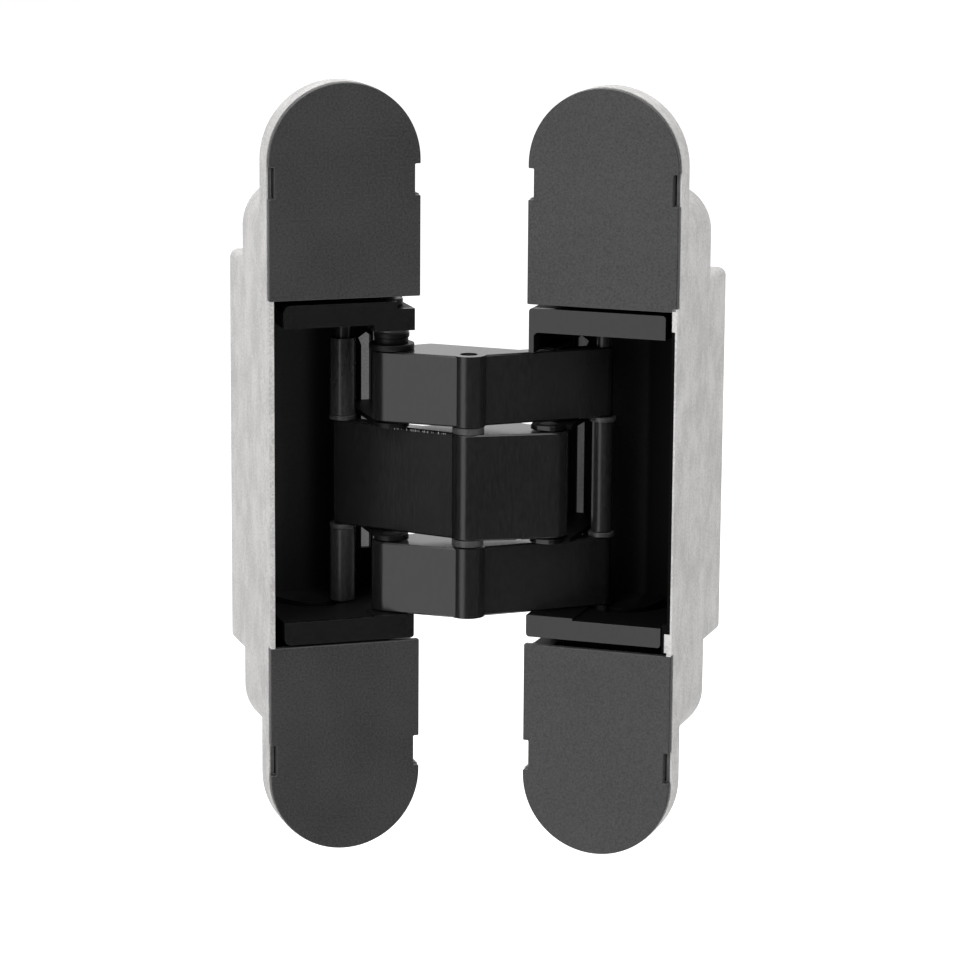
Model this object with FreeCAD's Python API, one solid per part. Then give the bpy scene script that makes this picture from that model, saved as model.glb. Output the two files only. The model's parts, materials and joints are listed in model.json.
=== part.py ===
import FreeCAD, Part
import math
import os

# Concealed door hinge: two housings let into door and frame, joined by crossed links.
# Millimetres. The back of the frame leaf's flange is the plane Y = 0, its deep block runs
# to +Y, its face looks towards -Y, and +Z is up.
# A leaf is drawn in its own axes: x = 0 at the edge nearest the other leaf and negative
# away from it, y = 0 at the face and negative into the housing, z = 0 at mid height.

# Housing
leaf_length = 150.0
leaf_width = 30.0
flange_depth = 6.8
middle_corner = 9.0
middle_inset = 0.15
deep_corner = 1.6
deep_inset = 0.3
back_wall = 1.8
side_wall = 1.0
pad_wall = 1.0
window_end = 40.0
inner_opening_depth = 17.2
rear_chamfer = 0.6
rim_pad_gap = 1.9
rim_pad_length = 5.6
housing_size = {
    "frame": {"depth": 32.6, "middle": 20.9, "deep_wall": 4.5},
    "door": {"depth": 36.3, "middle": 23.6, "deep_wall": 1.9},
}

# Cover caps
cover_thickness = 1.5
cover_overhang = 1.2
cover_inset = 0.12
clip_end = 18.8
clip_width = 5.2
clip_length = 3.8
clip_thickness = 0.9
notch_length = 6.0
notch_depth = 1.2
clip_clearance = 0.25
notch_pocket_depth = 5.0

# Fixing screw holes in the flanges
fixing_end = 9.5
fixing_hole_r = 2.6
fixing_sink_r = 5.0
fixing_sink_depth = 2.4

# Linkage, in the axes of either leaf; the two carriers are set differently in their leaves
pivot = {"frame": {"x": -4.12, "y": -5.98}, "door": {"x": -3.46, "y": -4.10}}
rest_arm_angle = {"frame": 38.48, "door": 32.52}
short_arm = 15.98
long_arm = 28.21
arm_bend = 42.93
closed_gap = 7.5
rest_opening = 143.76

# Links
knuckle_r = 3.1
pivot_end_r = 3.81
long_wing_r = 1.85
rear_depth = 9.0
rear_start = 4.5
rear_corner_r = 1.5
outer_link_share = 0.2849
link_gap = 1.49
stack_floor_play = 0.35
stack_roof_gap = 5.7
edge_break = 0.3
centre_pin_r = 1.7
centre_pin_recess = 0.4
centre_washer_play = 0.2
pin_fit = 0.04

# Carriers: the gaps above and below their plates, the plates' heights and the corners, leaf by leaf
plates = {
    "frame": {"outer": -27.0, "inner": -1.1, "top_gap": 2.2, "upper": 4.35, "lower": 4.45, "foot_gap": 1.6,
              "back_gap": 0.4, "slot_outer": -3.75, "slot_inner": -1.75},
    "door": {"outer": -27.7, "inner": -0.4, "top_gap": 3.4, "upper": 4.7, "lower": 3.9, "foot_gap": 1.9,
             "back_gap": 5.9, "slot_outer": -3.55, "slot_inner": -1.75},
}
plate_corners = {
    "frame": {"outer_top": 1.6, "inner_top": 0.5, "outer_foot": 1.3, "inner_foot": 0.6},
    "door": {"outer_top": 0.7, "inner_top": 0.7, "outer_foot": 0.7, "inner_foot": 0.7},
}
carrier_front = -0.3
carrier_wall_gap = 0.3
web_thickness = 1.5
web_slot_gap = 1.05
web_slot_head = 3.2
boss_r = 3.35
boss_length = 8.0
upper_boss = 1.3
lower_boss = 0.25
lug_thickness = 0.9
lug_gap = 0.35
guide_pin_r = 1.45
guide_play = 0.25
guide_depth = 3.2
guide_tip_play = 0.3
pad_length = 9.5
pad_height = 0.45
skirt_thickness = 1.1
skirt_play = 0.2
skirt_corner = 0.8
head_step = 1.4
head_step_length = 3.5

# Pivot and guide pins with their rings
pivot_pin_r = 1.75
pivot_pin_head_r = 2.2
pivot_ring_play = 0.1
hub_washer = {"radius": 4.4, "height": 1.15}
spacer = {"radius": 3.25, "height": 1.2}
thin_ring = {"radius": 3.45, "height": 1.0}
neck_r = 3.2
sleeve_r = 2.1
sleeve_bore_play = 0.03
sleeve_top_play = 0.95
sleeve_foot_play = 0.2
guide_ring_r = 2.62
guide_ring = 0.9

# Ears, clamp screws and adjusting cams under the covers
ear_front = -5.0
ear_thickness = 3.0
ear_half_width = 8.4
ear_tail = 2.8
ear_play = 0.1
pocket_half_width = 10.6
pocket_play = 2.2
pocket_wall = 3.2
clamp_gap = 3.6
clamp_head_r = 3.5
clamp_head = 2.5
clamp_shank_r = 2.0
clamp_shank = 9.0
socket_depth = 1.6
socket_width = 3.0
side_travel = 1.5
height_travel = 1.5
cam_spacing = 8.0
cam_r = 3.6
cam_stub_r = 1.5
cam_stub = 4.0
cam_offset = 0.8
door_height_setting = -0.75

leaf_mid = -leaf_width / 2
ear_back = ear_front - ear_thickness
cavity_half = leaf_length / 2 - window_end
cover_edge = cavity_half - cover_overhang
clamp_z = cavity_half + clamp_gap
cam_z = clamp_z + cam_spacing
ear_end = cam_z + ear_tail
pocket_end = ear_end + pocket_play
middle_half = pocket_end + pocket_wall
clip_centre = leaf_length / 2 - clip_end
fixing_z = leaf_length / 2 - fixing_end

for leaf, size in plates.items():
    size["top"] = cavity_half - size["top_gap"]
    size["roof"] = size["top"] - size["upper"]
    size["foot"] = size["foot_gap"] - cavity_half
    size["floor"] = size["foot"] + size["lower"]
    size["back"] = back_wall + size["back_gap"] - housing_size[leaf]["depth"]

stack_bottom = plates["frame"]["floor"] + stack_floor_play
upper_top = plates["frame"]["roof"] - stack_roof_gap
links_height = upper_top - stack_bottom - 2 * link_gap
lower_top = stack_bottom + outer_link_share * links_height
middle_bottom = lower_top + link_gap
upper_bottom = upper_top - outer_link_share * links_height
middle_top = upper_bottom - link_gap
web_slot_half = upper_top - web_slot_gap
lug_play = (link_gap - lug_thickness) / 2


def vec(x, y, z=0.0):
    return FreeCAD.Vector(x, y, z)


def block(x0, x1, y0, y1, z0, z1):
    low = vec(min(x0, x1), min(y0, y1), min(z0, z1))
    return Part.makeBox(abs(x1 - x0), abs(y1 - y0), abs(z1 - z0), low)


def post(x, y, radius, z0, z1):
    return Part.makeCylinder(radius, abs(z1 - z0), vec(x, y, min(z0, z1)))


def plug(x, z, radius, y0, y1):
    return Part.makeCylinder(radius, abs(y1 - y0), vec(x, max(y0, y1), z), vec(0, -1, 0))


def prism(points, z0, z1):
    wire = Part.makePolygon([vec(p[0], p[1], z0) for p in points + points[:1]])
    return Part.Face(wire).extrude(vec(0, 0, z1 - z0))


def hexagon(x, z, across_flats, y0, y1):
    corner = across_flats / math.sqrt(3)
    turns = [math.radians(60 * i) for i in range(7)]
    points = [vec(x + corner * math.cos(t), y0, z + corner * math.sin(t)) for t in turns]
    return Part.Face(Part.makePolygon(points)).extrude(vec(0, y1 - y0, 0))


def round_block(x0, x1, half, corner, y0, y1):
    """A rounded rectangle seen from the front, centred on z = 0, between two depths."""
    solid = block(x0, x1, y0, y1, -half, half)
    edges = [e for e in solid.Edges if abs(e.Vertexes[0].Y - e.Vertexes[1].Y) > 0.5 * abs(y1 - y0)]
    return solid.makeFillet(corner, edges)


def stadium(inset, y0, y1):
    """The leaf's outline with half-round ends, drawn in by an inset, between two depths."""
    radius = leaf_width / 2 - inset
    centre_z = leaf_length / 2 - leaf_width / 2
    body = block(-leaf_width + inset, -inset, y0, y1, -centre_z, centre_z)
    ends = [plug(leaf_mid, s * centre_z, radius, y0, y1) for s in (-1, 1)]
    return body.fuse(ends).removeSplitter()


def edges_at(solid, z):
    return [e for e in solid.Edges if all(abs(v.Z - z) < 1e-6 for v in e.Vertexes)
            and abs(e.BoundBox.ZMax - e.BoundBox.ZMin) < 1e-6]


# Linkage positions: the short arm's angle in each leaf falls in proportion to the opening
other_leaf = {"frame": "door", "door": "frame"}
reach = closed_gap - pivot["frame"]["y"] - pivot["door"]["y"]
arm_lean = math.atan((pivot["frame"]["x"] - pivot["door"]["x"]) / reach)
arm_middle = math.pi - math.asin(reach / (2 * short_arm * math.cos(arm_lean)))
closed_arm_angle = {"frame": math.degrees(arm_middle + arm_lean), "door": math.degrees(arm_middle - arm_lean)}
turn_share = {leaf: (closed_arm_angle[leaf] - rest_arm_angle[leaf]) / rest_opening for leaf in plates}


def arm_angle(leaf, opening):
    return closed_arm_angle[leaf] - turn_share[leaf] * opening


def centre_at(leaf, opening):
    a = math.radians(arm_angle(leaf, opening))
    return pivot[leaf]["x"] + short_arm * math.cos(a), pivot[leaf]["y"] + short_arm * math.sin(a)


def guide_at(leaf, opening):
    x, y = centre_at(leaf, opening)
    a = math.radians(opening + arm_angle(other_leaf[leaf], opening) - arm_bend)
    return x + long_arm * math.cos(a), y - long_arm * math.sin(a)


def frame_point(x, y):
    return leaf_width / 2 + x, -y - flange_depth


rest_turn = math.radians(rest_opening)
centre_point = frame_point(*centre_at("frame", rest_opening))
centre_in_door = centre_at("door", rest_opening)
door_edge = (
    centre_point[0] - centre_in_door[0] * math.cos(rest_turn) + centre_in_door[1] * math.sin(rest_turn),
    centre_point[1] - centre_in_door[0] * math.sin(rest_turn) - centre_in_door[1] * math.cos(rest_turn),
)


def door_point(x, y):
    return (door_edge[0] + x * math.cos(rest_turn) - y * math.sin(rest_turn),
            door_edge[1] + x * math.sin(rest_turn) + y * math.cos(rest_turn))


frame_pivot = frame_point(pivot["frame"]["x"], pivot["frame"]["y"])
door_pivot = door_point(pivot["door"]["x"], pivot["door"]["y"])
frame_guide = frame_point(*guide_at("frame", rest_opening))
door_guide = door_point(*guide_at("door", rest_opening))


def in_frame(shape):
    """Leaf axes to the hinge's axes for the frame leaf, a mirror image."""
    placed = shape.mirror(vec(0, 0, 0), vec(0, 1, 0))
    placed.translate(vec(leaf_width / 2, -flange_depth, 0))
    return placed


def in_door(shape, lift=0.0):
    """Leaf axes to the hinge's axes for the door leaf, turned to the rest opening."""
    placed = shape.copy()
    placed.rotate(vec(0, 0, 0), vec(0, 0, 1), rest_opening)
    placed.translate(vec(door_edge[0], door_edge[1], lift))
    return placed


# Housing: flange, middle and deep blocks, hollow behind the window
def housing(leaf):
    size = housing_size[leaf]
    depth = size["depth"]
    body = stadium(0.0, -cover_thickness, -flange_depth)
    body = body.fuse(round_block(-leaf_width, 0, cover_edge, 0.3, 0.0, -flange_depth))
    body = body.fuse(round_block(-leaf_width + middle_inset, -middle_inset, middle_half, middle_corner,
                                 -flange_depth, -size["middle"]))
    deep = round_block(-leaf_width + deep_inset, -deep_inset, cavity_half + size["deep_wall"], deep_corner,
                       -flange_depth, -depth)
    rear = [e for e in deep.Edges if all(abs(v.Y + depth) < 1e-6 for v in e.Vertexes)]
    body = body.fuse(deep.makeChamfer(rear_chamfer, rear)).removeSplitter()
    hollow = block(-leaf_width + side_wall, -side_wall, 0, -depth + back_wall, -cavity_half, cavity_half)
    body = body.cut(hollow)
    if leaf == "door":
        low = rim_pad_gap - cavity_half
        body = body.fuse(block(-leaf_width + side_wall, -leaf_width + side_wall + pad_wall, 0,
                               -depth + back_wall, low, low + rim_pad_length))
    body = body.cut(block(-side_wall - 0.01, 0, 0, -inner_opening_depth, -cavity_half, cavity_half))
    return body.cut(Part.makeCompound(housing_cuts())).removeSplitter()


def housing_cuts():
    cuts = []
    for side in (-1, 1):
        cuts.append(block(leaf_mid - pocket_half_width, leaf_mid + pocket_half_width, 0,
                          ear_back - ear_play, side * (cavity_half - 0.5), side * pocket_end))
        cuts.append(plug(leaf_mid, side * fixing_z, fixing_hole_r, 0, -flange_depth - 1))
        cuts.append(Part.makeCone(fixing_sink_r, fixing_hole_r, fixing_sink_depth,
                                  vec(leaf_mid, -cover_thickness, side * fixing_z), vec(0, -1, 0)))
        cuts.append(plug(leaf_mid, side * clamp_z, clamp_shank_r + 0.05, ear_back,
                         ear_front - clamp_shank - 1))
        cuts.append(plug(leaf_mid + cam_offset, side * cam_z, cam_stub_r + 0.05, ear_back,
                         ear_back - cam_stub - 0.5))
        half = clip_width / 2 + clip_clearance
        for outer, inner in clip_spans(clip_clearance):
            cuts.append(block(outer, inner, 0, -cover_thickness - clip_length - clip_clearance,
                              side * clip_centre - half, side * clip_centre + half))
        cuts.append(block(-notch_depth, 0, 0, -notch_pocket_depth, side * clip_centre - half,
                          side * clip_centre + half))
    return cuts


# Covers: a thin cap over each end, held by a clip leg in each side notch
def clip_spans(extra):
    near = -notch_depth + extra
    far = -notch_depth - clip_thickness - extra
    return [(far, near), (-leaf_width - near, -leaf_width - far)]


def cover(side):
    cap = stadium(cover_inset, 0.0, -cover_thickness)
    cap = cap.cut(block(-leaf_width, 0, 0, -cover_thickness, -leaf_length, cover_edge))
    low = clip_centre - notch_length / 2
    for x0, x1 in ((-notch_depth, 0), (-leaf_width, -leaf_width + notch_depth)):
        cap = cap.cut(block(x0, x1, 0, -cover_thickness, low, low + notch_length))
    for outer, inner in clip_spans(0.0):
        leg = block(outer, inner, -0.6, -cover_thickness - clip_length,
                    clip_centre - clip_width / 2, clip_centre + clip_width / 2)
        cap = cap.fuse(leg)
    cap = cap.removeSplitter()
    if side < 0:
        cap.rotate(vec(leaf_mid, 0, 0), vec(0, 1, 0), 180)
    return cap


# Carrier: two guide plates on a rear web, with the pivot's bosses or lugs
def guide_slot(leaf, z0, z1):
    """The curved slot that the guide pin follows from shut to wide open."""
    half = guide_pin_r + guide_play
    openings = [180.0 * i / 12 for i in range(13)]
    sides = {-1: [], 1: []}
    for opening in openings:
        x, y = guide_at(leaf, opening)
        xa, ya = guide_at(leaf, opening - 0.05)
        xb, yb = guide_at(leaf, opening + 0.05)
        run = math.hypot(xb - xa, yb - ya)
        for s in sides:
            sides[s].append(vec(x - s * half * (yb - ya) / run, y + s * half * (xb - xa) / run, z0))
    curves = []
    for s in sides:
        curve = Part.BSplineCurve()
        curve.interpolate(sides[s])
        curves.append(curve.toShape())
    caps = []
    for opening, step in ((0.0, -0.05), (180.0, 0.05)):
        x, y = guide_at(leaf, opening)
        xn, yn = guide_at(leaf, opening + step)
        run = math.hypot(xn - x, yn - y)
        tip = vec(x + half * (xn - x) / run, y + half * (yn - y) / run, z0)
        index = 0 if opening == 0.0 else -1
        caps.append(Part.Arc(sides[-1][index], tip, sides[1][index]).toShape())
    wire = Part.Wire(Part.__sortEdges__([curves[0], caps[1], curves[1], caps[0]]))
    return Part.Face(wire).extrude(vec(0, 0, z1 - z0))


def carrier(leaf, extras):
    size = plates[leaf]
    outer, inner, back = size["outer"], size["inner"], size["back"]
    body = block(outer, inner, carrier_front, back, size["foot"], size["top"])
    for name, radius in plate_corners[leaf].items():
        side, end = name.split("_")
        x, z = size[side], size[end]
        edge = [e for e in body.Edges if all(math.hypot(v.X - x, v.Z - z) < 1e-6 for v in e.Vertexes)]
        body = body.makeFillet(radius, edge)
    body = body.cut(block(outer, inner, carrier_front, back + web_thickness, size["floor"], size["roof"]))
    body = body.fuse(extras)
    body = body.cut(block(-side_wall - carrier_wall_gap, 0, -inner_opening_depth + carrier_wall_gap,
                          back, -leaf_length, leaf_length))
    x0, x1 = size["slot_outer"], size["slot_inner"]
    middle = (x0 + x1) / 2
    outline = [(x0, -web_slot_half), (x0, web_slot_half - 2.0), (middle - web_slot_head / 2, web_slot_half - 0.5),
               (middle, web_slot_half + 0.6), (x1, web_slot_half - 0.2), (x1, -web_slot_half)]
    wire = Part.makePolygon([vec(x, back, z) for x, z in outline + outline[:1]])
    body = body.cut(Part.Face(wire).extrude(vec(0, web_thickness, 0)))
    for side, inside, outside in ((1, size["roof"], size["top"]), (-1, size["floor"], size["foot"])):
        body = body.fuse(ear(side, outside))
        body = body.cut(guide_slot(leaf, inside + side * guide_depth, inside - side * 0.5))
    return body


def ear(side, root):
    """The tongue that the clamp screw holds under the cover, with the cam's fork at its end."""
    half = ear_half_width
    tongue = block(leaf_mid - half, leaf_mid + half, ear_front, ear_back, root - side * 0.2,
                   side * ear_end)
    reach = clamp_shank_r + 0.3
    for shift in (-side_travel, side_travel):
        tongue = tongue.cut(plug(leaf_mid + shift, side * clamp_z, reach, ear_front, ear_back))
    tongue = tongue.cut(block(leaf_mid - side_travel, leaf_mid + side_travel, ear_front, ear_back,
                              side * clamp_z - reach, side * clamp_z + reach))
    for shift in (-height_travel, height_travel):
        tongue = tongue.cut(plug(leaf_mid, side * clamp_z + shift, reach, ear_front, ear_back))
    fork = cam_r + side_travel + 0.2
    tongue = tongue.cut(plug(leaf_mid, side * cam_z, fork, ear_front, ear_back))
    return tongue.cut(block(leaf_mid - fork, leaf_mid + fork, ear_front, ear_back, side * cam_z,
                            side * ear_end))


def pivot_lug(leaf, z):
    """A thin tongue from the web to the pivot pin, lying in the gap between two links."""
    low = z + lug_play
    high = low + lug_thickness
    x, y = pivot[leaf]["x"], pivot[leaf]["y"]
    inner = plates[leaf]["inner"]
    nearest = max(guide_at(leaf, opening)[0] for opening in range(0, 181, 5))
    lug_x = nearest + guide_ring_r + lug_gap
    tongue = block(lug_x, inner, y, plates[leaf]["back"] + web_thickness / 2, low, high)
    nose = block(x - boss_r, inner, y, y + boss_r, low, high).common(post(x, y, boss_r + 0.2, low, high))
    return tongue.fuse(nose).fuse(post(x, y, boss_r - 0.05, low, high))


def frame_carrier():
    size = plates["frame"]
    x, y = pivot["frame"]["x"], pivot["frame"]["y"]
    extras = [pivot_lug("frame", z) for z in (middle_top, lower_top)]
    for z0, z1 in ((size["roof"] + 1, size["roof"] - upper_boss), (size["floor"] - 1, size["floor"] + lower_boss)):
        extras.append(post(x, y, boss_r, z0, z1))
        extras.append(block(size["inner"] - boss_length, size["inner"], y, carrier_front, z0, z1))
    body = carrier("frame", extras)
    top = size["top"]
    step = block(size["inner"] - head_step_length, 0, 0, y - pivot_pin_head_r - 1, top - head_step, top)
    step = step.fuse(post(x, y, pivot_pin_head_r + 0.1, top - head_step, top))
    low_bore = post(x, y, pivot_pin_r, middle_bottom, (size["floor"] + size["foot"]) / 2)
    high_bore = post(x, y, pivot_pin_r, middle_top, top)
    return body.cut([step, low_bore, high_bore]).removeSplitter()


def door_carrier():
    size = plates["door"]
    inner = size["inner"]
    wall_back = size["back"] + web_thickness / 2
    skirt = block(inner - skirt_thickness, inner, carrier_front, wall_back, size["roof"] + 1,
                  upper_top + skirt_play)
    x, z = inner - skirt_thickness - skirt_corner, size["roof"] - skirt_corner
    skirt = skirt.fuse(block(x, inner, carrier_front, wall_back, z, size["roof"] + 1))
    skirt = skirt.cut(plug(x, z, skirt_corner, carrier_front, wall_back))
    pad = block(inner - pad_length, inner, carrier_front, size["back"] / 2, size["floor"] - 1,
                size["floor"] + pad_height)
    extras = [pivot_lug("door", z) for z in (middle_top, lower_top)]
    body = carrier("door", extras + [skirt, pad])
    bore = post(pivot["door"]["x"], pivot["door"]["y"], pivot_pin_r, lower_top, upper_bottom)
    return body.cut(bore).removeSplitter()


# Links: a thick short wing to the pivot, a thin long wing to the guide pin
def unit(start, end):
    dx = end[0] - start[0]
    dy = end[1] - start[1]
    run = math.hypot(dx, dy)
    return dx / run, dy / run


def capsule(start, r0, end, r1, z0, z1):
    """Two round ends joined by their common tangents."""
    dx, dy = unit(start, end)
    run = math.hypot(end[0] - start[0], end[1] - start[1])
    lean = (r0 - r1) / run
    side = math.sqrt(1 - lean * lean)
    points = []
    for centre, radius, hands in ((start, r0, (1, -1)), (end, r1, (-1, 1))):
        for hand in hands:
            nx = lean * dx - hand * side * dy
            ny = lean * dy + hand * side * dx
            points.append((centre[0] + radius * nx, centre[1] + radius * ny))
    bar = prism(points, z0, z1)
    return bar.fuse([post(start[0], start[1], r0, z0, z1), post(end[0], end[1], r1, z0, z1)])


def link(pivot, guide, z0, z1):
    """One link, with its knuckle on the centre pin and its rear side squared off."""
    centre = centre_point
    sx, sy = unit(pivot, centre)
    lx, ly = unit(centre, guide)
    turn = 1 if sx * ly - sy * lx > 0 else -1
    rear = (-turn * sy, turn * sx)
    rear_long = (-turn * ly, turn * lx)
    body = capsule(pivot, pivot_end_r, centre, knuckle_r, z0, z1)
    body = body.fuse(capsule(centre, long_wing_r, guide, long_wing_r, z0, z1))
    along = (rear_depth - long_wing_r * math.cos(math.radians(arm_bend))) / math.sin(math.radians(arm_bend))
    a1 = (pivot[0] + pivot_end_r * rear[0], pivot[1] + pivot_end_r * rear[1])
    a2 = (pivot[0] + rear_start * sx + rear_depth * rear[0], pivot[1] + rear_start * sy + rear_depth * rear[1])
    a3 = (centre[0] + along * lx + long_wing_r * rear_long[0],
          centre[1] + along * ly + long_wing_r * rear_long[1])
    rear_block = prism([pivot, a1, a2, a3, centre], z0, z1)
    edge = [e for e in rear_block.Edges if all(math.hypot(v.X - a2[0], v.Y - a2[1]) < 1e-6
                                               for v in e.Vertexes)]
    body = body.fuse(rear_block.makeFillet(rear_corner_r, edge)).removeSplitter()
    return body.makeChamfer(edge_break, edges_at(body, z0) + edges_at(body, z1))


def bored(body, bores):
    for point, radius in bores:
        body = body.cut(post(point[0], point[1], radius, -leaf_length, leaf_length))
    return body


def ring(point, outer_r, inner_r, z0, z1):
    return post(point[0], point[1], outer_r, z0, z1).cut(post(point[0], point[1], inner_r, z0, z1))


def group(solids):
    return Part.makeCompound(solids)


# Screws and cams under the covers, the same in both leaves
def clamp_screws():
    screws = []
    for side in (-1, 1):
        z = side * clamp_z
        seat = ear_front + ear_play
        screw = plug(leaf_mid, z, clamp_head_r, seat + clamp_head, seat)
        screw = screw.makeChamfer(0.3, [e for e in screw.Edges if e.BoundBox.YMin > seat + clamp_head - 1e-6])
        screw = screw.fuse(plug(leaf_mid, z, clamp_shank_r, seat, ear_front - clamp_shank))
        screws.append(screw.cut(hexagon(leaf_mid, z, socket_width, seat + clamp_head, seat + clamp_head - socket_depth)))
    return screws


def cams():
    solids = []
    for side in (-1, 1):
        z = side * cam_z
        cam = plug(leaf_mid, z, cam_r, ear_front, ear_back)
        cam = cam.fuse(plug(leaf_mid + cam_offset, z, cam_stub_r, ear_back, ear_back - cam_stub))
        solids.append(cam.cut(hexagon(leaf_mid + cam_offset, z, socket_width, ear_front, ear_front - socket_depth)))
    return solids


def build():
    nodes = {}
    for name, place in (("frame", in_frame), ("door", in_leaf_of_door)):
        nodes[name + "_housing"] = place(housing(name))
        nodes[name + "_upper_cover"] = place(cover(1))
        nodes[name + "_lower_cover"] = place(cover(-1))
        nodes[name + "_clamp_screws"] = group([place(s) for s in clamp_screws()])
        nodes[name + "_adjusting_cams"] = group([place(s) for s in cams()])
    nodes["frame_carrier"] = in_frame(frame_carrier())
    nodes["door_carrier"] = in_door(door_carrier())

    running = pivot_pin_r + pin_fit
    for name, z0, z1 in (("upper_link", upper_bottom, upper_top), ("lower_link", stack_bottom, lower_top)):
        nodes[name] = bored(link(frame_pivot, door_guide, z0, z1),
                            [(frame_pivot, running), (centre_point, centre_pin_r), (door_guide, guide_pin_r)])
    nodes["middle_link"] = bored(link(door_pivot, frame_guide, middle_bottom, middle_top),
                                 [(door_pivot, running), (centre_point, centre_pin_r + pin_fit),
                                  (frame_guide, guide_pin_r)])
    nodes["centre_pin"] = post(centre_point[0], centre_point[1], centre_pin_r,
                               stack_bottom + centre_pin_recess, upper_top - centre_pin_recess)
    washer_bore = centre_pin_r + pin_fit
    nodes["centre_washers"] = group([
        ring(centre_point, knuckle_r, washer_bore, middle_top, upper_bottom - centre_washer_play),
        ring(centre_point, knuckle_r, washer_bore, middle_bottom, lower_top + centre_washer_play)])

    x, y = frame_pivot
    size = plates["frame"]
    high = post(x, y, pivot_pin_r, middle_top + lug_play, size["top"] - head_step)
    head = post(x, y, pivot_pin_head_r, size["top"] - head_step, size["top"] - 0.1)
    low = post(x, y, pivot_pin_r, lower_top + lug_play + lug_thickness, (size["floor"] + size["foot"]) / 2)
    nodes["frame_pivot_pins"] = group([high.fuse(head), low])
    washer_foot = upper_top + pivot_ring_play
    spacer_foot = washer_foot + hub_washer["height"]
    ring_foot = spacer_foot + spacer["height"]
    neck_foot = ring_foot + thin_ring["height"]
    nodes["frame_pivot_rings"] = group([
        ring(frame_pivot, hub_washer["radius"], running, washer_foot, spacer_foot),
        ring(frame_pivot, spacer["radius"], running, spacer_foot, ring_foot),
        ring(frame_pivot, thin_ring["radius"], running, ring_foot, neck_foot),
        ring(frame_pivot, neck_r, running, neck_foot, size["roof"] - upper_boss)])
    nodes["door_pivot_pin"] = post(door_pivot[0], door_pivot[1], pivot_pin_r, lower_top + lug_play,
                                   middle_top + lug_play + lug_thickness)

    tip = guide_depth - guide_tip_play
    sleeve_bore = guide_pin_r + sleeve_bore_play
    top = upper_top + sleeve_top_play
    foot = plates["frame"]["floor"] + sleeve_foot_play
    for name, point in (("frame", frame_guide), ("door", door_guide)):
        nodes[name + "_guide_pin"] = post(point[0], point[1], guide_pin_r, plates[name]["floor"] - tip,
                                          plates[name]["roof"] + tip)
    nodes["frame_guide_rings"] = group([
        ring(frame_guide, guide_ring_r, sleeve_bore, middle_top, middle_top + guide_ring),
        ring(frame_guide, guide_ring_r, sleeve_bore, middle_bottom - guide_ring, middle_bottom)])
    nodes["frame_guide_sleeves"] = group([
        ring(frame_guide, sleeve_r, sleeve_bore, middle_top + guide_ring, top),
        ring(frame_guide, sleeve_r, sleeve_bore, foot, middle_bottom - guide_ring)])
    nodes["door_guide_rings"] = group([
        ring(door_guide, guide_ring_r, sleeve_bore, upper_bottom - guide_ring, upper_bottom),
        ring(door_guide, guide_ring_r, sleeve_bore, lower_top, lower_top + guide_ring)])
    nodes["door_guide_sleeve"] = ring(door_guide, sleeve_r, sleeve_bore, lower_top + guide_ring,
                                      upper_bottom - guide_ring)
    return nodes


def in_leaf_of_door(shape):
    return in_door(shape, door_height_setting)


os.makedirs("parts", exist_ok=True)
for name, shape in build().items():
    shape.exportStep("parts/" + name + ".step")
    print(name, "solids", len(shape.Solids), "volume", round(shape.Volume, 1), "valid", shape.isValid())

print("frame pivot", frame_pivot, "centre", centre_point, "door pivot", door_pivot)
print("door edge", door_edge, "closed arm angle", closed_arm_angle, "share", turn_share)
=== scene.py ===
import json
import math

import bmesh
import bpy
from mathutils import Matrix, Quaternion, Vector


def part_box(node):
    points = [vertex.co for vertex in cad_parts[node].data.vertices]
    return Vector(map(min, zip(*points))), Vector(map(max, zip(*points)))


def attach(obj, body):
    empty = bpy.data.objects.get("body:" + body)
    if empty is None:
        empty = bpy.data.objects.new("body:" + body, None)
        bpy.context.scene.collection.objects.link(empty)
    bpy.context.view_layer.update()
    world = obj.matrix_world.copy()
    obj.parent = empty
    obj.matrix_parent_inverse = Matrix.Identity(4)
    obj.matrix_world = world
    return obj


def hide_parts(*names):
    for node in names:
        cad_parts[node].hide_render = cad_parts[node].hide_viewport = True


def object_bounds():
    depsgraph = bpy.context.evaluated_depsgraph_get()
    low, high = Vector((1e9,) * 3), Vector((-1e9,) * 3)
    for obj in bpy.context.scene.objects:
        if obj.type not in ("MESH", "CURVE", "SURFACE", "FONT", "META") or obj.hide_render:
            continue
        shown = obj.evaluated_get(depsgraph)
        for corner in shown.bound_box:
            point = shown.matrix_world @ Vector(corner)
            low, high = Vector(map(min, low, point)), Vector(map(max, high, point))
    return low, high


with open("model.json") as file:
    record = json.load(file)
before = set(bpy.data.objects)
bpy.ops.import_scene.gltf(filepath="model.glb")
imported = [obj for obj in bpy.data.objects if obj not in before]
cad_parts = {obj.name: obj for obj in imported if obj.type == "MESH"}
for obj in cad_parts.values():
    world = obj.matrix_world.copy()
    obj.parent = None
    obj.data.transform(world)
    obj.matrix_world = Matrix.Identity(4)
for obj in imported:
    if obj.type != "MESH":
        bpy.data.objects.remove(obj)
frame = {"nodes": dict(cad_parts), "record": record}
cadBox = [list(corner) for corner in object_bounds()]
record = frame["record"]
bodyOf = {node: body for body, members in record["behaviour"]["bodies"].items() for node in members}
slotOf = {part["node"]: part["material_slot"] for part in record["subparts"]}
fixings = {mount["name"]: mount for mount in record["mounts"]}
centreAxis = next(joint["pos_m"] for joint in record["behaviour"]["joints"]
                  if joint["name"] == "inner_arm_turn")
mm = 0.001
print("frame loaded:", len(frame["nodes"]), "nodes")


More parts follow.
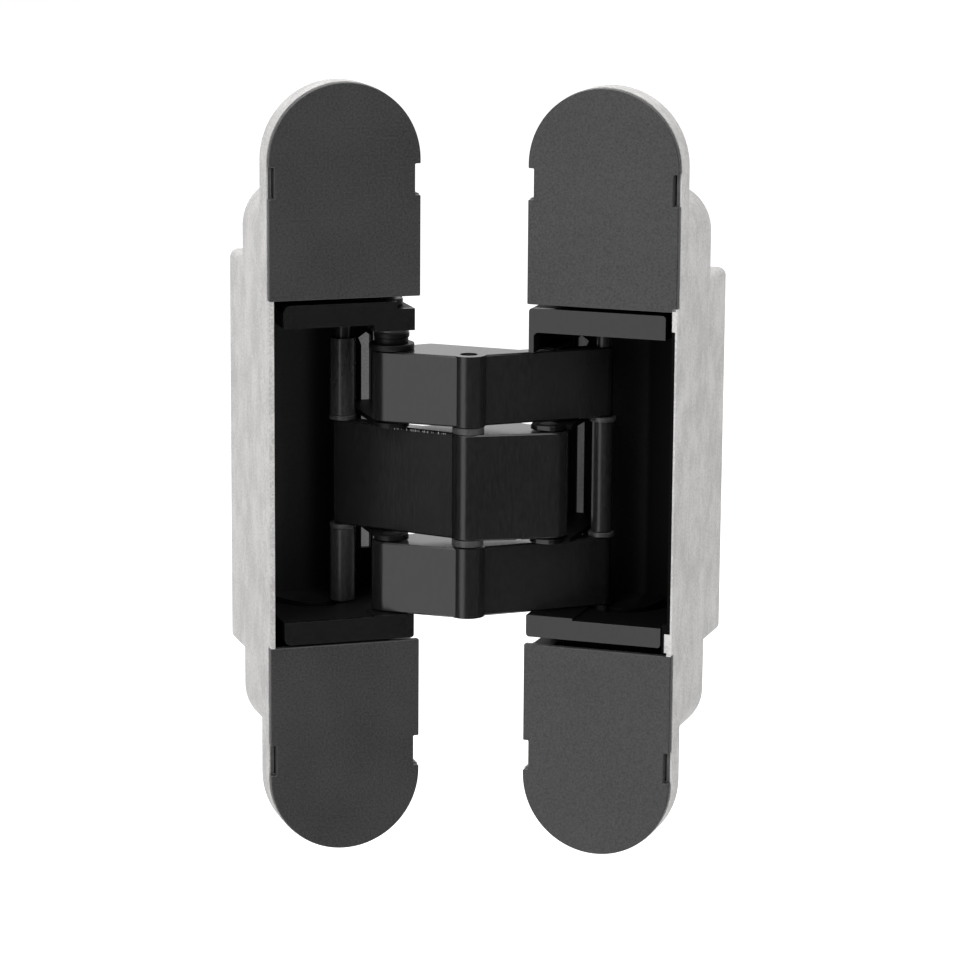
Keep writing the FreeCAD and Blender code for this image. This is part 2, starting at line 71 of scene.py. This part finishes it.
# Shader maths: a socket that works in plain expressions
class Wire:
    def __init__(self, desk, socket):
        self.desk = desk
        self.socket = socket

    def maths(self, operation, a, b=0.0):
        return self.desk.node("ShaderNodeMath", {"operation": operation}, {0: a, 1: b})

    def __add__(self, other):
        return self.maths("ADD", self, other)

    def __radd__(self, other):
        return self.maths("ADD", other, self)

    def __sub__(self, other):
        return self.maths("SUBTRACT", self, other)

    def __rsub__(self, other):
        return self.maths("SUBTRACT", other, self)

    def __mul__(self, other):
        return self.maths("MULTIPLY", self, other)

    def __rmul__(self, other):
        return self.maths("MULTIPLY", other, self)

    def __lt__(self, other):
        return self.maths("LESS_THAN", self, other)

    def __gt__(self, other):
        return self.maths("GREATER_THAN", self, other)

    def __abs__(self):
        return self.maths("ABSOLUTE", self)

    def __getitem__(self, name):
        return Wire(self.desk, self.socket.node.outputs[name])


reliefDepth = 0.1 * mm


class Desk:
    def __init__(self, tree):
        self.tree = tree
        tree.nodes.clear()

    def node(self, kind, settings, sockets, output=0):
        made = self.tree.nodes.new(kind)
        for name, value in settings.items():
            setattr(made, name, value)
        for name, value in sockets.items():
            if isinstance(value, Wire):
                self.tree.links.new(value.socket, made.inputs[name])
            else:
                made.inputs[name].default_value = value
        return Wire(self, made.outputs[output]) if made.outputs else None

    def vector(self, operation, a, b, output=0):
        return self.node("ShaderNodeVectorMath", {"operation": operation}, {0: a, 1: b}, output)

    def place(self):
        return self.node("ShaderNodeTexCoord", {}, {}, "Object")

    def noise(self, place, scale, detail, stretch=(1, 1, 1)):
        spread = self.node("ShaderNodeMapping", {}, {"Vector": place, "Scale": stretch})
        return self.node("ShaderNodeTexNoise", {}, {"Vector": spread, "Scale": scale, "Detail": detail})

    def ramp(self, value, low, high, fromLevel=0.0, toLevel=1.0):
        return self.node("ShaderNodeMapRange", {"interpolation_type": "SMOOTHSTEP"}, {
            "Value": value, "From Min": low, "From Max": high, "To Min": fromLevel, "To Max": toLevel})

    def blend(self, share, first, second):
        return self.node("ShaderNodeMix", {"data_type": "RGBA"}, {0: share, 6: first, 7: second}, 2)

    def relief(self, height, strength):
        return self.node("ShaderNodeBump", {}, {
            "Height": height, "Strength": strength, "Distance": reliefDepth})

    def surface(self, sockets):
        return self.node("ShaderNodeBsdfPrincipled", {}, sockets)

    def mixed(self, share, first, second):
        return self.node("ShaderNodeMixShader", {}, {0: share, 1: first, 2: second})

    def finish(self, surface):
        self.node("ShaderNodeOutputMaterial", {}, {"Surface": surface})


def newFinish(name):
    finish = bpy.data.materials.new(name)
    finish.use_nodes = True
    return finish, Desk(finish.node_tree)


def grey(level, warmth=0.0):
    return (level * (1 + warmth), level, level * (1 - warmth), 1)


# Places on a leaf, from its fixing holes: across it, out of its face and up, in millimetres
inwardOf = {"frame": 1, "door": -1}  # the side that faces the other leaf


def leafPlace(desk, leaf):
    mount = fixings[leaf + "_fixings"]
    centre, out = Vector(mount["pos_m"]), Vector(mount["axis"])
    across = Vector((0, 0, 1)).cross(out)
    away = desk.vector("SUBTRACT", desk.place(), centre)
    side = desk.vector("DOT_PRODUCT", away, across, "Value") * (1 / mm)
    front = desk.vector("DOT_PRODUCT", away, out, "Value") * (1 / mm)
    height = desk.node("ShaderNodeSeparateXYZ", {}, {0: away}, "Z") * (1 / mm)
    return side, front, height


# The dull black inside the wells, with painted shade: blacker near the opening and past a line on each web,
# and the door's copy painted darker than the frame's
dull = {
    "deepFrom": -18.0, "deepTo": -8.0, "shallow": 0.003, "roughness": 0.5, "grain": 1500.0, "detail": 3,
    "frame": {"dark": 0.022, "light": 0.040, "gloss": 0.30, "bendFrom": -1.5, "bendTo": 3.0},
    # painted shade: the door's dull black is a darker copy of the frame's
    "door": {"dark": 0.011, "light": 0.020, "gloss": 0.04, "bendFrom": 1.2, "bendTo": 2.4},
}


def dullBlack(desk, leaf):
    facts = dull[leaf]
    side, front, height = leafPlace(desk, leaf)
    # painted shade: blacker near the opening and past a line on each web
    shallow = desk.ramp(front, dull["deepFrom"], dull["deepTo"])
    shallow = shallow.maths("MAXIMUM", shallow, desk.ramp(side, facts["bendFrom"], facts["bendTo"]))
    speck = desk.noise(desk.place(), dull["grain"], dull["detail"])
    paint = desk.blend(speck, grey(facts["dark"]), grey(facts["light"]))
    return desk.surface({"Base Color": desk.blend(shallow, paint, grey(dull["shallow"])),
                         "Roughness": dull["roughness"], "Specular IOR Level": facts["gloss"]})


# Raw zinc castings: black in the well, and on the door's rim as painted shade; painted shade and a painted
# highlight line in the clip pockets; and a painted glow behind the webs' slots, standing in for light that
# comes back
zinc = {
    "dark": 0.47, "light": 0.68, "warmth": 0.016, "toneFrom": 0.38, "toneTo": 0.62,
    "metallic": 0.25, "roughness": 0.42, "unevenness": 0.12, "bump": 0.16, "streakBump": 0.5,
    "blotch": {"scale": 150.0, "detail": 6, "stretch": (1, 1, 0.75), "share": 0.36},
    "streak": {"scale": 700.0, "detail": 4, "stretch": (1, 1, 0.4), "share": 0.20},
    "grain": {"scale": 2300.0, "detail": 4, "stretch": (1, 1, 1), "share": 0.44},
}
well = {"side": 14.15, "lip": 0.6, "lipBack": -12.0, "front": 6.55, "back": -22.5, "half": 35.6}
# painted shade: where the door's rim is painted black
paintedRimShade = {"leaf": "door", "side": 13.5, "more": 1.12, "inner": 12.0, "front": 6.4, "half": 29.4}
# clip pockets: painted shade (dark, light) and a painted highlight line (line, lineFrom, lineTo, lineShare)
pocket = {
    "centre": 56.2, "half": 3.4, "inner": 11.5, "outer": 14.72, "floor": 1.0,
    "lip": 0.32, "lipFront": 6.2, "smudge": 700.0, "detail": 4, "dark": 0.0255, "light": 0.1445,
    "lineFrom": 13.9, "lineTo": 14.15, "line": 0.20, "lineShare": 0.7,
}
# painted glow: the zinc behind the webs' slots emits light, standing in for light that comes back
slotGlow = {
    "side": 14.4, "half": 30.0,
    "frame": {"floor": -25.0, "dark": 0.070, "light": 0.130},
    "door": {"floor": -28.6, "dark": 0.0238, "light": 0.0442},
}


def inTheWell(leaf, inward, front, height):
    wall = (front > well["lipBack"]) * well["lip"] + well["side"]
    inside = (inward > -well["side"]) * (inward < wall) * (front < well["front"]) \
        * (front > well["back"]) * (abs(height) < well["half"])
    if leaf != paintedRimShade["leaf"]:
        return inside
    # painted shade: the door's rim beside the well is painted black
    reach = (abs(height) < paintedRimShade["half"]) * paintedRimShade["more"] + paintedRimShade["side"]
    rimShade = (inward + reach > 0) * (inward < -paintedRimShade["inner"]) \
        * (front > paintedRimShade["front"]) * (abs(height) < well["half"])
    return inside.maths("MAXIMUM", inside, rimShade)


def castZinc(leaf):
    finish, desk = newFinish(leaf + "Zinc")
    place = desk.place()
    side, front, height = leafPlace(desk, leaf)
    blotch, streak, grain = (
        desk.noise(place, zinc[name]["scale"], zinc[name]["detail"], zinc[name]["stretch"])
        for name in ("blotch", "streak", "grain"))
    tone = blotch * zinc["blotch"]["share"] + streak * zinc["streak"]["share"] \
        + grain * zinc["grain"]["share"]
    metal = desk.blend(desk.ramp(tone, zinc["toneFrom"], zinc["toneTo"]),
                       grey(zinc["dark"], zinc["warmth"]), grey(zinc["light"], zinc["warmth"]))

    pocketWall = (front > pocket["lipFront"]) * pocket["lip"] + pocket["outer"]
    inPocket = (abs(abs(height) - pocket["centre"]) < pocket["half"]) * (abs(side) > pocket["inner"]) \
        * (abs(side) < pocketWall) * (front > pocket["floor"])
    # painted highlight: a light line along the pocket's outer edge
    pocketHighlight = inPocket * (abs(side) > pocket["lineFrom"]) * (abs(side) < pocket["lineTo"])
    # painted shade: the clip pockets are darker than the zinc
    smudge = desk.noise(place, pocket["smudge"], pocket["detail"])
    pocketShade = desk.blend(smudge, grey(pocket["dark"]), grey(pocket["light"]))
    colour = desk.blend(inPocket, metal, pocketShade)
    colour = desk.blend(pocketHighlight * pocket["lineShare"], colour, grey(pocket["line"]))

    # painted glow behind the webs' slots
    light = slotGlow[leaf]
    behind = (abs(side) < slotGlow["side"]) * (abs(height) < slotGlow["half"]) \
        * (front < well["back"]) * (front > light["floor"])
    glow = desk.blend(behind, grey(0.0), desk.blend(blotch, grey(light["dark"]), grey(light["light"])))

    metalSurface = desk.surface({
        "Base Color": colour, "Metallic": (1 - inPocket) * zinc["metallic"],
        "Normal": desk.relief(grain + streak * zinc["streakBump"], zinc["bump"]),
        "Roughness": blotch * zinc["unevenness"] + zinc["roughness"],
        "Emission Color": glow, "Emission Strength": 1.0})
    inWell = inTheWell(leaf, side * inwardOf[leaf], front, height)
    desk.finish(desk.mixed(inWell, metalSurface, dullBlack(desk, leaf)))
    return finish


# Black paints: a fine matte speckle on the caps, satin on the carriers and links
paint = {
    "cover": {"dark": 0.022, "light": 0.050, "roughness": 0.41, "grain": 2500.0, "long": 1.0, "bump": 0.25},
    "carrier": {"dark": 0.004, "light": 0.009, "roughness": 0.21, "grain": 2200.0, "long": 1.0, "bump": 0.08},
    "link": {"dark": 0.008, "light": 0.014, "roughness": 0.17, "grain": 2600.0, "long": 0.2, "bump": 0.16},
    "pin": {"dark": 0.014, "light": 0.026, "roughness": 0.25, "grain": 2400.0, "long": 0.3, "bump": 0.06},
    # painted light: the frame's sleeves take a lighter copy of the pin paint
    "litSleeve": {"dark": 0.024, "light": 0.046, "roughness": 0.23, "grain": 2400.0, "long": 0.3, "bump": 0.06},
    "ring": {"dark": 0.040, "light": 0.066, "roughness": 0.31, "grain": 2600.0, "long": 1.0, "bump": 0.04},
    "steel": {"dark": 0.060, "light": 0.100, "roughness": 0.29, "grain": 2400.0, "long": 1.0, "bump": 0.05},
}
speckle = {"detail": 4, "share": 0.8, "from": 0.3, "to": 0.7}
cloud = {"scale": 70.0, "detail": 3, "share": 0.2, "unevenness": 0.1}
# painted shade: deeper than this the carriers take the well's darker dull black, as they lie in shade
carrierShadeEdge = {"back": 5.2, "front": 5.8}  # the carriers' satin ends here and the well's dull black begins
bossRing = 1.05 * mm  # the light ring under the boss; the washer and spacer beneath it are black


def blackPaint(name, metallic=0.0, leaf="", blackBelow=None):
    facts = paint[name]
    finish, desk = newFinish(leaf + name + "Paint")
    place = desk.place()
    specks = desk.noise(place, facts["grain"], speckle["detail"], (1, 1, facts["long"]))
    clouds = desk.noise(place, cloud["scale"], cloud["detail"])
    tone = specks * speckle["share"] + clouds * cloud["share"]
    shade = desk.blend(desk.ramp(tone, speckle["from"], speckle["to"]),
                       grey(facts["dark"]), grey(facts["light"]))
    painted = desk.surface({
        "Base Color": shade, "Metallic": metallic, "Normal": desk.relief(specks, facts["bump"]),
        "Roughness": clouds * cloud["unevenness"] + facts["roughness"]})
    if leaf:
        # painted shade: the carrier deeper in the well is painted with the dull black
        carrierShade = desk.ramp(leafPlace(desk, leaf)[1], carrierShadeEdge["back"], carrierShadeEdge["front"], 1.0, 0.0)
        painted = desk.mixed(carrierShade, painted, dullBlack(desk, leaf))
    elif blackBelow:
        # below this height the rings take the wells' dull black, with its painted shade near the opening
        low = desk.node("ShaderNodeSeparateXYZ", {}, {0: place}, "Z") < blackBelow
        painted = desk.mixed(low, painted, dullBlack(desk, "frame"))
    desk.finish(painted)
    return finish


finishes = {
    "cover_black": blackPaint("cover"),
    "link_black": blackPaint("link"),
    "pin_black": blackPaint("pin"),
    "ring_grey": blackPaint("ring"),
    "dark_steel": blackPaint("steel", metallic=0.6),
}
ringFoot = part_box("frame_pivot_rings")[1][2] - bossRing
ownFinish = {
    "frame_pivot_rings": blackPaint("ring", blackBelow=ringFoot),
    # painted light: a lighter copy of the pin paint for the frame's sleeves
    "frame_guide_sleeves": blackPaint("litSleeve"),
}
for leaf in ("frame", "door"):
    ownFinish[leaf + "_housing"] = castZinc(leaf)
    ownFinish[leaf + "_carrier"] = blackPaint("carrier", leaf=leaf)
print("finishes made:", len(finishes) + len(ownFinish))


# Every node gets a merged copy with soft edges, so that its corners catch the light
softEdge = {
    "raw_zinc": 0.22, "cover_black": 0.20, "carrier_black": 0.28, "link_black": 0.20,
    "pin_black": 0.15, "ring_grey": 0.12, "dark_steel": 0.12,
}
merging = {"reach": 0.002 * mm, "flatTurn": math.radians(0.4), "edgeTurn": math.radians(38)}
edgeSteps = 2
areaWeight = 100

# Where the copies depart from the solids
knuckle = {"radius": 3.4 * mm, "inner": 2.5 * mm, "sides": 96, "links": ("upper_link", "lower_link")}
capReach = {"node": "door_upper_cover", "drop": 0.7 * mm, "band": 0.5 * mm}
sleeveWidth = {"node": "frame_guide_sleeves", "times": 1.2}


def newPiece(name, mesh):
    piece = bpy.data.objects.new(name, mesh)
    bpy.context.scene.collection.objects.link(piece)
    return piece


def evaluatedMesh(piece):
    return bpy.data.meshes.new_from_object(piece.evaluated_get(bpy.context.evaluated_depsgraph_get()))


def knuckleBarrel(node):
    low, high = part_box(node)
    sides, corners, faces = knuckle["sides"], [], []
    for radius, level in (("radius", low[2]), ("radius", high[2]), ("inner", high[2]), ("inner", low[2])):
        for step in range(sides):
            turn = 2 * math.pi * step / sides
            corners.append((centreAxis[0] + knuckle[radius] * math.cos(turn),
                            centreAxis[1] + knuckle[radius] * math.sin(turn), level))
    for ring in range(4):
        for step in range(sides):
            here, there, after = ring * sides, (ring + 1) % 4 * sides, (step + 1) % sides
            faces.append((here + step, here + after, there + after, there + step))
    mesh = bpy.data.meshes.new("knuckleBarrel")
    mesh.from_pydata(corners, [], faces)
    return newPiece("knuckleBarrel", mesh)


def reshape(node, corners):
    if node == capReach["node"]:
        foot = min(corner.co.z for corner in corners)
        for corner in corners:
            if corner.co.z < foot + capReach["band"]:
                corner.co.z -= capReach["drop"]
    if node == sleeveWidth["node"]:
        centre = sum((Vector(corner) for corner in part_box(node)), Vector()) / 2
        for corner in corners:
            for axis in (0, 1):
                corner.co[axis] = centre[axis] + (corner.co[axis] - centre[axis]) * sleeveWidth["times"]


def mergedCopy(node):
    mesh = frame["nodes"][node].data.copy()
    work = bmesh.new()
    work.from_mesh(mesh)
    bmesh.ops.remove_doubles(work, verts=work.verts, dist=merging["reach"])
    bmesh.ops.dissolve_limit(work, angle_limit=merging["flatTurn"], verts=work.verts, edges=work.edges)
    reshape(node, work.verts)
    work.to_mesh(mesh)
    work.free()
    mesh.materials.clear()
    mesh.materials.append(ownFinish.get(node) or finishes[slotOf[node]])
    mesh.polygons.foreach_set("use_smooth", [True] * len(mesh.polygons))
    return mesh


def softened(node):
    slot = slotOf[node]
    piece = newPiece(node + "_piece", mergedCopy(node))
    barrel = knuckleBarrel(node) if node in knuckle["links"] else None
    if barrel:
        union = piece.modifiers.new("knuckleBarrel", "BOOLEAN")
        union.operation = "UNION"
        union.solver = "EXACT"
        union.object = barrel
    bevel = piece.modifiers.new("softEdge", "BEVEL")
    bevel.limit_method = "ANGLE"
    bevel.angle_limit = merging["edgeTurn"]
    bevel.width = softEdge[slot] * mm
    bevel.segments = edgeSteps
    flat = piece.modifiers.new("flatFaces", "WEIGHTED_NORMAL")
    flat.weight = areaWeight
    flat.keep_sharp = True
    made = evaluatedMesh(piece)
    piece.modifiers.clear()
    piece.data = made
    if barrel:
        bpy.data.objects.remove(barrel)
    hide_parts(node)
    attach(piece, bodyOf[node])


for node in sorted(frame["nodes"]):
    softened(node)
print("pieces made:", len(frame["nodes"]))


# A folded lip inside the door carrier's skirt, over the upper link: millimetres on the leaf
lip = {"side": (-13.7, -10.8), "front": (-9.0, 2.2), "height": (23.0, 23.4)}


def carrierLip():
    mount = fixings["door_fixings"]
    out = Vector(mount["axis"])
    across = Vector((0, 0, 1)).cross(out)
    spans = (lip["side"], lip["front"], lip["height"])
    work = bmesh.new()
    bmesh.ops.create_cube(work, size=1)
    for corner in work.verts:
        side, front, level = (span[0] + (span[1] - span[0]) * (part + 0.5)
                              for span, part in zip(spans, corner.co))
        corner.co = Vector((*mount["pos_m"][:2], 0)) + across * side * mm + out * front * mm
        corner.co.z = level * mm
    bmesh.ops.recalc_face_normals(work, faces=work.faces)
    mesh = bpy.data.meshes.new("doorCarrierLip")
    work.to_mesh(mesh)
    work.free()
    mesh.materials.append(ownFinish["door_carrier"])
    piece = newPiece("door_carrier_lip", mesh)
    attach(piece, bodyOf["door_carrier"])


carrierLip()
print("carrier lip made")


# Tool marks along the middle link's top front edge, one small burr for each point of a line
nicks = {
    "start": (10.4, 0.25), "end": (19.3, -9.2), "lift": -0.34, "outward": 0.04,
    "count": 34, "share": 0.62, "seed": 7, "smallest": 0.4, "largest": 1.2,
    "burr": (0.20, 0.16, 0.50), "roundness": 2,
}
bareMetal = {"dark": 0.20, "light": 0.75, "metallic": 0.3, "roughness": 0.35, "grain": 5000.0, "detail": 2}


def bareEdge():
    finish, desk = newFinish("bareEdge")
    speck = desk.noise(desk.place(), bareMetal["grain"], bareMetal["detail"])
    desk.finish(desk.surface({
        "Base Color": desk.blend(speck, grey(bareMetal["dark"]), grey(bareMetal["light"])),
        "Metallic": bareMetal["metallic"], "Roughness": bareMetal["roughness"]}))
    return finish


def namedInput(tree, name, kind, value):
    socket = tree.interface.new_socket(name, in_out="INPUT", socket_type=kind)
    return socket.identifier, value


def nickTree(tree):
    desk = Desk(tree)
    given = desk.node("NodeGroupInput", {}, {})
    line = desk.node("GeometryNodeMeshLine", {"mode": "END_POINTS"}, {
        "Count": given["Count"], "Start Location": given["Start"], "Offset": given["End"]})
    ball = desk.node("GeometryNodeMeshIcoSphere", {}, {
        "Radius": 0.5, "Subdivisions": nicks["roundness"]})
    burr = desk.node("GeometryNodeTransform", {}, {"Geometry": ball, "Scale": given["Burr size"]})
    kept = desk.node("FunctionNodeRandomValue", {"data_type": "BOOLEAN"}, {
        6: given["Share kept"], 8: given["Seed"]}, 3)
    scale = desk.node("FunctionNodeRandomValue", {"data_type": "FLOAT"}, {
        2: nicks["smallest"], 3: nicks["largest"], 8: given["Seed"]}, 1)
    burrs = desk.node("GeometryNodeInstanceOnPoints", {}, {
        "Points": line, "Selection": kept, "Instance": burr, "Rotation": given["Turn"], "Scale": scale})
    solid = desk.node("GeometryNodeRealizeInstances", {}, {"Geometry": burrs})
    painted = desk.node("GeometryNodeSetMaterial", {}, {"Geometry": solid, "Material": bareEdge()})
    desk.node("NodeGroupOutput", {}, {0: painted})


def edgeNicks():
    start, end = (Vector((*place, 0)) * mm for place in (nicks["start"], nicks["end"]))
    run = end - start
    shift = run.cross(Vector((0, 0, 1))).normalized() * nicks["outward"] * mm
    shift.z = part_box("middle_link")[1][2] + nicks["lift"] * mm
    tree = bpy.data.node_groups.new("edgeNicks", "GeometryNodeTree")
    tree.interface.new_socket("Geometry", in_out="OUTPUT", socket_type="NodeSocketGeometry")
    values = dict([
        namedInput(tree, "Start", "NodeSocketVector", start + shift),
        namedInput(tree, "End", "NodeSocketVector", end + shift),
        namedInput(tree, "Count", "NodeSocketInt", nicks["count"]),
        namedInput(tree, "Burr size", "NodeSocketVector", tuple(side * mm for side in nicks["burr"])),
        namedInput(tree, "Share kept", "NodeSocketFloat", nicks["share"]),
        namedInput(tree, "Turn", "NodeSocketVector", (0, 0, math.atan2(run.y, run.x))),
        namedInput(tree, "Seed", "NodeSocketInt", nicks["seed"])])
    nickTree(tree)
    piece = newPiece("middle_link_edge_nicks", bpy.data.meshes.new("edgeNicks"))
    grown = piece.modifiers.new("edgeNicks", "NODES")
    grown.node_group = tree
    for identifier, value in values.items():
        grown[identifier] = value
    made = evaluatedMesh(piece)
    piece.modifiers.clear()
    piece.data = made
    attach(piece, bodyOf["middle_link"])
    print("edge nicks made:", len(made.polygons), "faces")


edgeNicks()


# Floor, backdrop, light and camera
studio = {
    "floorDrop": 0.16, "floorReach": 4.0, "floorColour": 0.85, "floorGlow": 0.8, "ambient": 0.36,
    "frontGlow": 0.10, "behindGlow": 1.0, "behindSpan": (0.2, 0.7),
    "overheadGlow": 2.6, "overheadSpan": (0.55, 0.85),
    "underGlow": 1.8, "underSpan": (-0.85, -0.55),
    "panelGlow": 1.6, "panelToward": (-0.80, -0.60, 0.0), "panelSpan": (0.94, 0.985),
}
lampTarget = (0.02, 0.0, 0.0)
lamps = {
    "key": {"place": (-0.66, -0.45, 0.60), "size": 0.6, "power": 6.1},
    "fill": {"place": (1.1, -1.2, 0.3), "size": 1.0, "power": 10.5},
    "top": {"place": (0.1, 0.1, 1.3), "size": 1.0, "power": 6.0},
}
shot = {  # millimetres and degrees, from the outlines in the photograph
    "place": (-189.31, -692.71, 146.29), "target": (26.857, -10.681, -3.019), "roll": 0.425,
    "lens": 140.49, "nearest": 0.01,
}


def area(name, facts):
    lamp = bpy.data.lights.new(name, "AREA")
    lamp.shape = "SQUARE"
    lamp.size = facts["size"]
    lamp.energy = facts["power"]
    holder = newPiece(name, lamp)
    holder.location = facts["place"]
    aim = Vector(lampTarget) - Vector(facts["place"])
    holder.rotation_euler = aim.to_track_quat("-Z", "Y").to_euler()
    holder.visible_glossy = False  # the world gives the reflections


def paleFloor():
    reach = studio["floorReach"]
    level = cadBox[0][2] - studio["floorDrop"]
    corners = [(x * reach, y * reach, level) for x, y in ((-1, -1), (1, -1), (1, 1), (-1, 1))]
    mesh = bpy.data.meshes.new("floor")
    mesh.from_pydata(corners, [], [(0, 1, 2, 3)])
    finish, desk = newFinish("paleFloor")
    ray = desk.node("ShaderNodeLightPath", {}, {})
    plain = desk.node("ShaderNodeBsdfDiffuse", {}, {"Color": grey(studio["floorColour"])})
    glow = desk.node("ShaderNodeEmission", {}, {"Color": grey(1.0), "Strength": studio["floorGlow"]})
    seen = desk.node("ShaderNodeAddShader", {}, {0: plain, 1: glow})
    clear = desk.node("ShaderNodeBsdfTransparent", {}, {})
    direct = desk.mixed(ray["Is Camera Ray"], plain, seen)
    desk.finish(desk.mixed(ray["Is Glossy Ray"], direct, clear))
    mesh.materials.append(finish)
    newPiece("floor", mesh)


def whiteRoom():
    world = bpy.data.worlds.new("studio")
    bpy.context.scene.world = world
    world.use_nodes = True
    desk = Desk(world.node_tree)
    ray = desk.node("ShaderNodeLightPath", {}, {})
    way = desk.node("ShaderNodeTexCoord", {}, {}, "Generated")
    parts = desk.node("ShaderNodeSeparateXYZ", {}, {0: way})
    behind = desk.ramp(parts["Y"], *studio["behindSpan"], studio["frontGlow"], studio["behindGlow"])
    overhead = desk.ramp(parts["Z"], *studio["overheadSpan"], 0.0, studio["overheadGlow"])
    under = desk.ramp(parts["Z"], *studio["underSpan"], studio["underGlow"], 0.0)
    flatWay = desk.vector("NORMALIZE", desk.vector("MULTIPLY", way, (1, 1, 0)), (0, 0, 0))
    toward = desk.vector("DOT_PRODUCT", flatWay, studio["panelToward"], "Value")
    panel = desk.ramp(toward, *studio["panelSpan"], 0.0, studio["panelGlow"])
    glossy, seen = ray["Is Glossy Ray"], ray["Is Camera Ray"]
    lit = glossy * (behind + panel + overhead + under) + (1 - glossy) * studio["ambient"]
    sky = desk.node("ShaderNodeBackground", {}, {"Color": grey(1.0), "Strength": seen + (1 - seen) * lit})
    desk.node("ShaderNodeOutputWorld", {}, {"Surface": sky})


def camera():
    lens = bpy.data.cameras.new("camera")
    lens.lens = shot["lens"]
    lens.clip_start = shot["nearest"]
    holder = newPiece("camera", lens)
    holder.location = [value * mm for value in shot["place"]]
    aim = Vector(shot["target"]) - Vector(shot["place"])
    roll = Quaternion((0, 0, 1), math.radians(shot["roll"]))
    holder.rotation_mode = "QUATERNION"
    holder.rotation_quaternion = aim.to_track_quat("-Z", "Y") @ roll
    bpy.context.scene.camera = holder


for name, facts in lamps.items():
    area(name + "Lamp", facts)
paleFloor()
whiteRoom()
camera()
bpy.context.scene.view_settings.view_transform = "Standard"
print("studio set")

bpy.context.view_layer.update()
